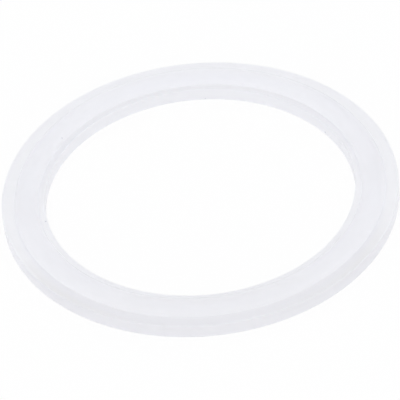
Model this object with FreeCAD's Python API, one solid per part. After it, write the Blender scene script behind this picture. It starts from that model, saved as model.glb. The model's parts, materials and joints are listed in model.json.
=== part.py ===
"""Sanitary clamp gasket for a DN 50 tube joint, moulded in one piece from silicone rubber.

A flat web with a plain bore carries one rounded bead on each face. The beads seat in the
grooves of the two clamped ferrules, and the flat strips beside them lie between the faces.
All sizes are in millimetres. The origin is the bore's centre on the web's mid-plane, and
+Z is the ring's axis.
"""
import FreeCAD, Part
import os

# The web: the flat ring that carries the beads
OUTER_DIAMETER = 64.0
BORE_DIAMETER = 50.0
WEB_THICKNESS = 2.3

# The bead on each face, measured at the web's surface
BEAD_PITCH_DIAMETER = 56.0
BEAD_WIDTH = 3.8
BEAD_HEIGHT = 1.5


def point(radius, height):
    """Return a point of the section, which lies in the XZ plane."""
    return FreeCAD.Vector(radius, 0, height)


def line(start, end):
    """Return a straight edge between two points of the section."""
    return Part.LineSegment(start, end).toShape()


def upper_edges():
    """Return the section's edges over the upper face, from the outer rim to the bore.

    The bead is one arc, from its outer foot over its crest to its inner foot. Straight edges
    on both sides of it are the flat strips of the web.
    """
    face = WEB_THICKNESS / 2
    pitch = BEAD_PITCH_DIAMETER / 2
    rim = point(OUTER_DIAMETER / 2, face)
    outer_foot = point(pitch + BEAD_WIDTH / 2, face)
    crest = point(pitch, face + BEAD_HEIGHT)
    inner_foot = point(pitch - BEAD_WIDTH / 2, face)
    bore = point(BORE_DIAMETER / 2, face)
    return [
        line(rim, outer_foot),
        Part.Arc(outer_foot, crest, inner_foot).toShape(),
        line(inner_foot, bore),
    ]


def gasket_section():
    """Return the closed section: the upper edges, their mirror image and the two walls."""
    face = WEB_THICKNESS / 2
    upper = upper_edges()
    lower = [edge.mirror(point(0, 0), point(0, 1)) for edge in upper]
    bore_wall, outer_wall = (
        line(point(diameter / 2, -face), point(diameter / 2, face))
        for diameter in (BORE_DIAMETER, OUTER_DIAMETER)
    )
    return Part.Wire(upper + [bore_wall] + lower[::-1] + [outer_wall])


def gasket_ring():
    """Return the gasket: its section turned once about the ring's axis."""
    return Part.Face(gasket_section()).revolve(point(0, 0), point(0, 1), 360)


def main():
    """Build the gasket and write it as a STEP file."""
    ring = gasket_ring()
    os.makedirs("parts", exist_ok=True)
    ring.exportStep("parts/gasket_ring.step")
    print(f"gasket_ring: valid {ring.isValid()}, {ring.Volume:.1f} cubic mm, {ring.BoundBox}")


main()
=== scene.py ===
"""Dresses the silicone clamp gasket: its moulded ring, its translucent finish and a pale studio."""

import json
import math

import bpy
import numpy as np
from mathutils import Matrix, Vector


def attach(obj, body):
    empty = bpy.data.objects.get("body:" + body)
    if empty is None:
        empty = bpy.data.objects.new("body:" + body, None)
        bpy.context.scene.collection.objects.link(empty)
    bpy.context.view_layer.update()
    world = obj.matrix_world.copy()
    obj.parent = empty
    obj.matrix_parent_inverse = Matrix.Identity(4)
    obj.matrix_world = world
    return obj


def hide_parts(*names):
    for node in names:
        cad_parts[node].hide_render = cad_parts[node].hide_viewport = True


bl_info = {
    "name": "Silicone Clamp Gasket",
    "version": (1, 0, 0),
    "blender": (4, 5, 0),
    "location": "3D View > Sidebar > Gasket",
    "description": "Builds a moulded silicone clamp gasket and the pale studio it lies in",
    "category": "Object",
}

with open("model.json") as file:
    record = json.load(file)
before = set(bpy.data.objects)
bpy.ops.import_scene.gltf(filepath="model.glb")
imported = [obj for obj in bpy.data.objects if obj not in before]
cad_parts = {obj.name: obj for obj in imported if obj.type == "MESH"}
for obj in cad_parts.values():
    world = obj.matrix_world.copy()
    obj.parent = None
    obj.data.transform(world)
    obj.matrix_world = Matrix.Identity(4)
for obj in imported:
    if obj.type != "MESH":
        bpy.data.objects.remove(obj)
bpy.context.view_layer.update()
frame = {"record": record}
MOUNTS = {mount["name"]: mount for mount in frame["record"]["mounts"]}
MM = 0.001
WHITE = (1.0, 1.0, 1.0, 1.0)

# The ring's sizes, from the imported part
OUTER_RADIUS = MOUNTS["outer_rim"]["dims"]["r_mm"] * MM
BORE_RADIUS = MOUNTS["bore"]["dims"]["r_mm"] * MM
FACE_HEIGHT = MOUNTS["upper_face"]["pos_m"][2]
CREST_HEIGHT = MOUNTS["upper_bead"]["pos_m"][2]

# How finely the ring is drawn: points of a rounding, of a flat strip and of the bead's crown,
# and steps around the ring
ROUNDING_POINTS, STRIP_POINTS, CROWN_POINTS, RING_STEPS = 7, 5, 39, 360

# Dust grains that stick to the ring: azimuth in degrees, then in millimetres the radius from
# the axis, the height above the web's mid-plane and the grain's own radius
DUST = (
    (-170.5, 25.35, 1.15, 0.22),
    (31.0, 25.0, -0.65, 0.22),
    (145.0, 26.4, 1.84, 0.16),
    (84.4, 25.0, -0.9, 0.14),
)
DUST_CORE = 1 / 3  # the core's share of a grain's radius

# Sectors of the floor's shades: y over the distance from the axis, where a shade sets in and
# where it is full
FRONT_SECTOR = (-0.2, -0.7)
BACK_SECTOR = (-0.15, 0.15)

# The softboxes: distance from the ring in metres, height above the floor in degrees, and
# width and height in degrees as the ring sees them
BOX_DISTANCE = 1.5
BOX_ELEVATION = 12
BOX_SPREAD = (66, 24)

# Side of the floor in metres, and the camera's sensor in millimetres and its reach in metres
FLOOR_SIZE = 6.0
SENSOR_WIDTH = 36.0
CAMERA_REACH = (0.01, 20.0)

# How often light may cross or scatter in the clear body, and leave a matt surface
CLEAR_BOUNCES, MATT_BOUNCES = 64, 16


def linear(hex_value):
    """Return an sRGB hex colour as linear red, green and blue."""
    values = np.array([int(hex_value[i:i + 2], 16) for i in (1, 3, 5)]) / 255
    low, high = values / 12.92, ((values + 0.055) / 1.055) ** 2.4
    return tuple(float(v) for v in np.where(values <= 0.04045, low, high))


def length(name, description, default):
    """Return a property that holds a length in metres."""
    return bpy.props.FloatProperty(
        name=name, description=description, default=default, min=0, precision=5,
        subtype="DISTANCE", unit="LENGTH")


def colour(name, description, default):
    """Return a property that holds a colour, given as an sRGB hex value."""
    return bpy.props.FloatVectorProperty(
        name=name, description=description, default=linear(default), min=0, max=1,
        subtype="COLOR", size=3)


def amount(name, description, default, top=1.0):
    """Return a property that holds a plain number from 0 to a top value."""
    return bpy.props.FloatProperty(
        name=name, description=description, default=default, min=0, max=top)


class GasketSizes(bpy.types.PropertyGroup):
    """Sizes of the moulded ring."""

    bead_pitch: length("Bead pitch radius", "Radius of the bead's crest line", 28.0 * MM)
    bead_width: length("Bead width", "Width of the bead at the web's surface", 3.8 * MM)
    foot_radius: length("Foot radius", "Fillet between the bead and the web", 0.2 * MM)
    corner_radius: length("Corner radius", "Rounding of the rims' corners", 0.12 * MM)


class GasketFinish(bpy.types.PropertyGroup):
    """Colours and surface of the silicone."""

    skin: colour("Skin", "Faint cool tint that the skin gives from outside", "#FCFDFF")
    tint: colour("Tint", "Colour that light takes on along the tint depth", "#EEEDF0")
    tint_depth: length("Tint depth", "Way inside the silicone that gives the tint", 10.5 * MM)
    haze: length("Haze", "Mean way of light between two scatterings in the silicone", 5.0 * MM)
    bloom: amount("Bloom", "Share of light that the matt skin scatters back", 0.2)
    roughness: amount("Roughness", "Satin of the moulded skin", 0.3)
    ior: amount("Refractive index", "How strongly the silicone bends light", 1.41, 3.0)
    wave_size: length("Wave size", "Spacing of the skin's slight waves", 1.5 * MM)
    wave_height: length("Wave height", "Height of the skin's slight waves", 0.004 * MM)
    dust: colour("Dust", "Colour of the dust grains", "#C6C9D0")


class StudioSettings(bpy.types.PropertyGroup):
    """Floor, light and camera."""

    floor: colour("Floor", "Matt floor", "#ECECEC")
    washout: amount("Washout", "Share of plain white in what is seen of the floor", 0.97)
    glow: amount("Glow", "Brightness of the floor's even glow, seen through the silicone", 0.9)
    front_shade: colour("Front shade", "Light left under the ring's front", "#E9E7E4")
    front_edge: length("Front edge", "Radius beyond which the front shade sets in", 27.6 * MM)
    front_soft: length("Front softness", "Width of the front shade's soft edge", 1.0 * MM)
    contact_shade: colour("Contact shade", "Light left where the bead stands behind", "#EDECEA")
    contact_start: length("Contact start", "Radius at which that shade begins", 26.2 * MM)
    contact_end: length("Contact end", "Radius at which that shade has ended", 28.8 * MM)
    contact_soft: length("Contact softness", "Width of that shade's soft edges", 0.6 * MM)
    bore_shade: colour("Bore shade", "Light left inside the front of the bore", "#F6F5F4")
    bore_edge: length("Bore edge", "Radius within which the bore shade sets in", 25.9 * MM)
    bore_soft: length("Bore softness", "Width of the bore shade's soft edge", 0.8 * MM)
    daylight: colour("Daylight", "Cool white of the surroundings and the lamps", "#FAFBFF")
    sky: amount("Sky", "Brightness of the white surroundings", 1.0, 5.0)
    side_light: amount("Side light", "Brightness that the low side softboxes add", 0.9, 20.0)
    front_light: amount("Front light", "Brightness that the low front softbox adds", 0.75, 20.0)
    distance: length("Camera distance", "From the bore's centre to the lens", 533.3 * MM)
    elevation: bpy.props.FloatProperty(
        name="Camera elevation", description="Height of the view above the floor's plane",
        default=math.radians(41.41), subtype="ANGLE", unit="ROTATION")
    roll: bpy.props.FloatProperty(
        name="Camera roll", description="Turn of the camera about its own view",
        default=math.radians(5.72), subtype="ANGLE", unit="ROTATION")
    aim_across: bpy.props.FloatProperty(
        name="Aim across", description="Aim to the right of the bore's centre",
        default=-0.03 * MM, precision=5, subtype="DISTANCE", unit="LENGTH")
    aim_below: length("Aim below", "Aim below the bore's centre", 0.98 * MM)
    lens: bpy.props.FloatProperty(
        name="Lens", description="Focal length", default=298.15, subtype="DISTANCE_CAMERA")


def arc(centre, radius, start, end, count):
    """Return points of a circle's arc in the section plane, evenly spaced in angle."""
    angles = np.linspace(start, end, count)
    return np.array(centre) + radius * np.stack([np.cos(angles), np.sin(angles)], axis=1)


def strip(start, end):
    """Return points inside a straight stretch, closer together at its two ends.

    Each lies at the share (1 - cos t) / 2 of the way, with t evenly spaced from 0 to pi.
    """
    share = (1 - np.cos(np.linspace(0, math.pi, STRIP_POINTS + 2)[1:-1])) / 2
    return np.array(start) + share[:, None] * (np.array(end) - np.array(start))


def gasket_section(sizes):
    """Return the section as a closed loop of (radius, height) points, seen with +Z up.

    Over the upper face: a quarter round at the rim's corner, the flat web, a concave foot
    fillet, the bead's crown, the other foot, the web and the bore's corner. The crown is the
    one circle through the crest and both feet, and each foot's circle is tangent to it and to
    the web. The lower face is the mirror image, and straight walls join the two.
    """
    pitch, rise, width = sizes.bead_pitch, CREST_HEIGHT - FACE_HEIGHT, sizes.bead_width
    foot, corner = sizes.foot_radius, sizes.corner_radius
    crown = (width ** 2 / 4 + rise ** 2) / (2 * rise)
    crown_height = CREST_HEIGHT - crown

    lift = FACE_HEIGHT + foot - crown_height
    reach = math.sqrt((crown + foot) ** 2 - lift ** 2)
    tilt = math.atan2(lift, reach)
    quarter = math.pi / 2

    rim = (OUTER_RADIUS - corner, FACE_HEIGHT - corner)
    bore = (BORE_RADIUS + corner, FACE_HEIGHT - corner)
    outer_foot = (pitch + reach, FACE_HEIGHT + foot)
    inner_foot = (pitch - reach, FACE_HEIGHT + foot)
    upper = np.concatenate([
        arc(rim, corner, 0, quarter, ROUNDING_POINTS),
        strip((rim[0], FACE_HEIGHT), (outer_foot[0], FACE_HEIGHT)),
        arc(outer_foot, foot, 3 * quarter, 2 * quarter + tilt, ROUNDING_POINTS),
        arc((pitch, crown_height), crown, tilt, 2 * quarter - tilt, CROWN_POINTS)[1:-1],
        arc(inner_foot, foot, -tilt, -quarter, ROUNDING_POINTS),
        strip((inner_foot[0], FACE_HEIGHT), (bore[0], FACE_HEIGHT)),
        arc(bore, corner, quarter, 2 * quarter, ROUNDING_POINTS),
    ])
    lower = upper[::-1] * (1, -1)
    bore_wall = strip(upper[-1], lower[0])
    outer_wall = strip(lower[-1], upper[0])
    return np.concatenate([upper, bore_wall, lower, outer_wall])


def turned_surface(name, section, turns):
    """Return a mesh object: the section's loop (r, z) turned about Z in even steps.

    A point lies at (r cos a, r sin a, z). Both directions close on themselves.
    """
    angles = np.linspace(0, 2 * math.pi, turns, endpoint=False)[:, None]
    radius, height = section[:, 0][None], section[:, 1][None]
    points = np.stack(np.broadcast_arrays(
        radius * np.cos(angles), radius * np.sin(angles), height), axis=-1)

    index = np.arange(points.shape[0] * points.shape[1]).reshape(points.shape[:2])
    ahead, beside = np.roll(index, -1, axis=0), np.roll(index, -1, axis=1)
    corner = np.roll(ahead, -1, axis=1)
    quads = np.stack([index, ahead, corner, beside], axis=-1).reshape(-1, 4)

    mesh = bpy.data.meshes.new(name)
    mesh.from_pydata(points.reshape(-1, 3), [], quads)
    mesh.polygons.foreach_set("use_smooth", np.ones(len(quads), bool))
    mesh.update()
    piece = bpy.data.objects.new(name, mesh)
    bpy.context.scene.collection.objects.link(piece)
    return piece


def add(tree, kind, settings=None, **inputs):
    """Add a node. Its attributes come from settings; an input is a value or a socket to link."""
    node = tree.nodes.new(kind)
    for name, value in (settings or {}).items():
        setattr(node, name, value)
    for name, value in inputs.items():
        socket = node.inputs[name.replace("_", " ")]
        if isinstance(value, bpy.types.NodeSocket):
            tree.links.new(value, socket)
        else:
            socket.default_value = value
    return node


def rgba(colour_value):
    """Return a colour with full alpha."""
    return (*colour_value, 1.0)


def combined(tree, operation, first, second):
    """Return a socket that combines two sockets, or a socket and a number."""
    node = add(tree, "ShaderNodeMath", {"operation": operation})
    tree.links.new(first, node.inputs[0])
    if isinstance(second, bpy.types.NodeSocket):
        tree.links.new(second, node.inputs[1])
    else:
        node.inputs[1].default_value = second
    return node.outputs["Value"]


def smooth_step(tree, value, start, end):
    """Return a socket that rises smoothly from 0 where the value is start to 1 where it is end."""
    low, high = min(start, end), max(start, end)
    step = add(tree, "ShaderNodeMapRange", {"interpolation_type": "SMOOTHSTEP"}, Value=value,
               From_Min=low, From_Max=high, To_Min=float(start > end), To_Max=float(start < end))
    return step.outputs["Result"]


def blend(tree, share, first, second, mode="MIX"):
    """Return a socket that goes from the first colour to the second as the share rises to 1."""
    node = add(tree, "ShaderNodeMixRGB", {"blend_type": mode}, Fac=share, Color1=first,
               Color2=second)
    return node.outputs["Color"]


def dust_grains(tree, place):
    """Return a socket that is 1 in each dust grain's core and falls to 0 at its rim."""
    grains = None
    for azimuth, radius, height, size in DUST:
        turn = math.radians(azimuth)
        spot = MM * Vector((radius * math.cos(turn), radius * math.sin(turn), height))
        gap = add(tree, "ShaderNodeVectorMath", {"operation": "DISTANCE"})
        tree.links.new(place, gap.inputs[0])
        gap.inputs[1].default_value = spot
        grain = smooth_step(tree, gap.outputs["Value"], size * MM, size * MM * DUST_CORE)
        grains = combined(tree, "MAXIMUM", grains, grain) if grains else grain
    return grains


def moulded_translucent_silicone(finish):
    """Platinum-cured silicone rubber, pressed in a smooth mould.

    Light bends at the satin skin and is scattered gently inside, so the thick bead looks
    milkier than the thin web. From outside, the skin also gives back a matt share of the
    light, which makes it milky, and both skin and body give it a faint cool tint. The skin
    waves slightly, and a few dust grains stick to it.
    """
    material = bpy.data.materials.new("moulded translucent silicone")
    material.use_nodes = True
    tree = material.node_tree
    tree.nodes.clear()
    place = add(tree, "ShaderNodeTexCoord").outputs["Object"]
    waves = add(tree, "ShaderNodeTexNoise", Vector=place, Scale=1 / finish.wave_size, Detail=3.0)
    relief = add(tree, "ShaderNodeBump", Height=waves.outputs["Fac"], Distance=finish.wave_height)
    within = add(tree, "ShaderNodeNewGeometry").outputs["Backfacing"]
    skin = blend(tree, within, rgba(finish.skin), WHITE)
    shader = add(
        tree, "ShaderNodeBsdfPrincipled", IOR=finish.ior, Roughness=finish.roughness,
        Base_Color=blend(tree, dust_grains(tree, place), skin, rgba(finish.dust)),
        Transmission_Weight=combined(tree, "MAXIMUM", within, 1 - finish.bloom),
        Normal=relief.outputs["Normal"])

    milk = add(tree, "ShaderNodeVolumeScatter", Color=WHITE, Density=1 / finish.haze)
    tint = add(tree, "ShaderNodeVolumeAbsorption", Color=rgba(finish.tint),
               Density=1 / finish.tint_depth)
    inside = add(tree, "ShaderNodeAddShader")
    tree.links.new(milk.outputs["Volume"], inside.inputs[0])
    tree.links.new(tint.outputs["Volume"], inside.inputs[1])
    add(tree, "ShaderNodeOutputMaterial", Surface=shader.outputs["BSDF"],
        Volume=inside.outputs["Shader"])
    return material


def floor_light(tree, path, studio):
    """Return a socket with the colour of the floor's light, dimmed where the ring shades it.

    The shades follow the ring: under its front, from the bead outwards, around the line
    where the bead stands behind, and faintly inside the front of the bore. They are seen
    through the silicone only.
    """
    place = add(tree, "ShaderNodeTexCoord").outputs["Object"]
    radius = add(tree, "ShaderNodeVectorMath", {"operation": "LENGTH"}, Vector=place)
    radius = radius.outputs["Value"]
    depth = add(tree, "ShaderNodeSeparateXYZ", Vector=place).outputs["Y"]
    behind = combined(tree, "DIVIDE", depth, radius)
    unseen = smooth_step(tree, path["Is Camera Ray"], 1, 0)
    shades = (
        (studio.front_shade, FRONT_SECTOR, ((studio.front_edge, studio.front_soft),)),
        (studio.contact_shade, BACK_SECTOR, ((studio.contact_start, studio.contact_soft),
                                             (studio.contact_end, -studio.contact_soft))),
        (studio.bore_shade, FRONT_SECTOR, ((studio.bore_edge, -studio.bore_soft),)),
    )
    light = WHITE
    for colour_value, sector, edges in shades:
        share = combined(tree, "MULTIPLY", unseen, smooth_step(tree, behind, *sector))
        for edge, soft in edges:
            step = smooth_step(tree, radius, edge, edge + soft)
            share = combined(tree, "MULTIPLY", share, step)
        light = blend(tree, share, light, rgba(colour_value), "MULTIPLY")
    return light


def matt_white_floor(studio):
    """Seamless paper: flat and matt, and washed out to white in the picture.

    What the camera sees of it is mostly plain white, and the rest keeps a faint shadow. Where
    the silicone shows it, it glows evenly, apart from the shades under the ring.
    """
    material = bpy.data.materials.new("seamless white paper")
    material.use_nodes = True
    tree = material.node_tree
    tree.nodes.clear()
    path = add(tree, "ShaderNodeLightPath").outputs
    light = floor_light(tree, path, studio)
    paper = add(tree, "ShaderNodeBsdfDiffuse",
                Color=blend(tree, 1.0, rgba(studio.floor), light, "MULTIPLY"))
    white = add(tree, "ShaderNodeEmission", Color=light,
                Strength=combined(tree, "MAXIMUM", path["Is Camera Ray"], studio.glow))
    through = combined(tree, "MAXIMUM", path["Is Glossy Ray"], path["Is Transmission Ray"])
    seen = combined(tree, "MULTIPLY", path["Is Camera Ray"], studio.washout)
    mix = add(tree, "ShaderNodeMixShader", Fac=combined(tree, "MAXIMUM", through, seen))
    tree.links.new(paper.outputs["BSDF"], mix.inputs[1])
    tree.links.new(white.outputs["Emission"], mix.inputs[2])
    add(tree, "ShaderNodeOutputMaterial", Surface=mix.outputs["Shader"])
    return material


class OBJECT_OT_gasket_ring(bpy.types.Operator):
    """Build the gasket's ring: a flat web with a rounded bead on each face"""

    bl_idname = "object.gasket_ring"
    bl_label = "Gasket Ring"
    bl_options = {"REGISTER", "UNDO"}

    def execute(self, context):
        scene = context.scene
        section = gasket_section(scene.gasket_sizes)
        ring = turned_surface("moulded_ring", section, RING_STEPS)
        ring.data.materials.append(moulded_translucent_silicone(scene.gasket_finish))
        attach(ring, "root")
        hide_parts("gasket_ring")
        return {"FINISHED"}


def soft_light(name, azimuth, brightness, colour_value):
    """Add a low softbox that looks at the origin from an azimuth in degrees from +X.

    A brightness of 1 is as bright as white paper in the white room.
    """
    width, height = (2 * BOX_DISTANCE * math.tan(math.radians(angle) / 2) for angle in BOX_SPREAD)
    data = bpy.data.lights.new(name, "AREA")
    data.shape, data.size, data.size_y = "RECTANGLE", width, height
    data.energy = brightness * math.pi * width * height
    data.color = colour_value
    lamp = bpy.data.objects.new(name, data)
    turn, rise = math.radians(azimuth), math.radians(BOX_ELEVATION)
    lamp.location = BOX_DISTANCE * Vector((
        math.cos(rise) * math.cos(turn), math.cos(rise) * math.sin(turn), math.sin(rise)))
    lamp.rotation_euler = (-lamp.location).to_track_quat("-Z", "Y").to_euler()
    lamp.visible_camera = False
    bpy.context.scene.collection.objects.link(lamp)


class SCENE_OT_gasket_studio(bpy.types.Operator):
    """Set up the floor, the soft light and the camera"""

    bl_idname = "scene.gasket_studio"
    bl_label = "Gasket Studio"
    bl_options = {"REGISTER", "UNDO"}

    def execute(self, context):
        scene, studio = context.scene, context.scene.studio_settings
        self.lay_floor(studio)
        self.light(scene, studio)
        self.place_camera(scene, studio)
        self.trace_light_through(scene)
        scene.view_settings.view_transform = "Standard"
        return {"FINISHED"}

    def trace_light_through(self, scene):
        """Let light cross the clear body and scatter in it many times, and stay sharp."""
        cycles = scene.cycles
        cycles.max_bounces = cycles.transmission_bounces = CLEAR_BOUNCES
        cycles.glossy_bounces = cycles.volume_bounces = CLEAR_BOUNCES
        cycles.diffuse_bounces = MATT_BOUNCES
        cycles.blur_glossy = 0

    def lay_floor(self, studio):
        """Lay a flat square of paper under the lower bead."""
        half, level = FLOOR_SIZE / 2, -CREST_HEIGHT
        corners = [(-half, -half, level), (half, -half, level),
                   (half, half, level), (-half, half, level)]
        mesh = bpy.data.meshes.new("paper_floor")
        mesh.from_pydata(corners, [], [(0, 1, 2, 3)])
        mesh.materials.append(matt_white_floor(studio))
        floor = bpy.data.objects.new("paper_floor", mesh)
        bpy.context.scene.collection.objects.link(floor)

    def light(self, scene, studio):
        """Fill the room with cool white, and add softboxes in front, left and right."""
        world = bpy.data.worlds.new("white studio")
        scene.world = world
        world.use_nodes = True
        room = world.node_tree.nodes["Background"].inputs
        room["Color"].default_value = rgba(studio.daylight)
        room["Strength"].default_value = studio.sky
        for name, azimuth, brightness in (("left softbox", -157, studio.side_light),
                                          ("front softbox", -90, studio.front_light),
                                          ("right softbox", -23, studio.side_light)):
            soft_light(name, azimuth, brightness, studio.daylight)

    def place_camera(self, scene, studio):
        """Look at the ring from in front and above, with a long lens and a slight roll."""
        rise, roll = studio.elevation, studio.roll
        back = Vector((0, -math.cos(rise), math.sin(rise)))
        right, up = Vector((1, 0, 0)), Vector((0, math.sin(rise), math.cos(rise)))
        across = math.cos(roll) * right - math.sin(roll) * up
        upward = math.sin(roll) * right + math.cos(roll) * up
        data = bpy.data.cameras.new("product camera")
        data.lens, data.sensor_width = studio.lens, SENSOR_WIDTH
        data.clip_start, data.clip_end = CAMERA_REACH
        camera = bpy.data.objects.new("product camera", data)
        place = back * studio.distance + across * studio.aim_across - upward * studio.aim_below
        turn = Matrix((across, upward, back)).transposed().to_4x4()
        camera.matrix_world = Matrix.Translation(place) @ turn
        scene.collection.objects.link(camera)
        scene.camera = camera


class VIEW3D_PT_gasket(bpy.types.Panel):
    """Lists the gasket's settings and its builders"""

    bl_idname = "VIEW3D_PT_gasket"
    bl_label = "Silicone Clamp Gasket"
    bl_space_type = "VIEW_3D"
    bl_region_type = "UI"
    bl_category = "Gasket"

    def draw(self, context):
        scene = context.scene
        for label, group in (("Sizes", scene.gasket_sizes), ("Finish", scene.gasket_finish),
                             ("Studio", scene.studio_settings)):
            column = self.layout.column(align=True)
            column.label(text=label)
            for name in group.__annotations__:
                column.prop(group, name)
        self.layout.operator("object.gasket_ring")
        self.layout.operator("scene.gasket_studio")


GROUPS = {
    "gasket_sizes": GasketSizes,
    "gasket_finish": GasketFinish,
    "studio_settings": StudioSettings,
}
CLASSES = (*GROUPS.values(), OBJECT_OT_gasket_ring, SCENE_OT_gasket_studio, VIEW3D_PT_gasket)


def register():
    """Register the classes and give the scene its settings."""
    for cls in CLASSES:
        bpy.utils.register_class(cls)
    for name, group in GROUPS.items():
        setattr(bpy.types.Scene, name, bpy.props.PointerProperty(type=group))


def unregister():
    """Remove the settings and the classes."""
    for name in GROUPS:
        delattr(bpy.types.Scene, name)
    for cls in reversed(CLASSES):
        bpy.utils.unregister_class(cls)


def main():
    """Build the ring and its studio."""
    register()
    bpy.ops.object.gasket_ring()
    bpy.ops.scene.gasket_studio()


if __name__ == "__main__":
    main()
